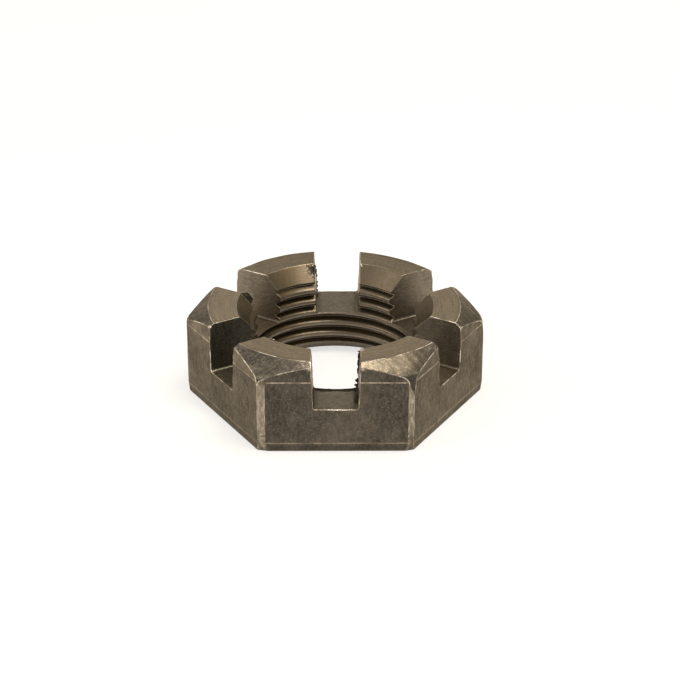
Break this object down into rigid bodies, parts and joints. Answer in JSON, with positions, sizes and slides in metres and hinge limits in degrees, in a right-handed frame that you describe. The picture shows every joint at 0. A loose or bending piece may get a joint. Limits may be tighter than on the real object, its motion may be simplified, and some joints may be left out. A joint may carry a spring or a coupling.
{
  "type": "castle nut",
  "caption": "Thin hexagon castle nut with slots milled across its crown for a split pin and a fine inch thread through its middle.",
  "frame": {"origin": "centre of the bearing face, on the thread axis", "axes": "+Z along the thread axis, from the bearing face to the slotted crown; X runs corner to corner and Y across two flats, each with a slot in its middle"},
  "size_m": [0.0436, 0.0382, 0.0139],
  "materials": {
    "dark_steel": "oiled dark phosphate on forged steel, rubbed bright along the edges"
  },
  "bodies": {
    "root": {"castle_nut": "dark_steel"}
  },
  "joints": []
}
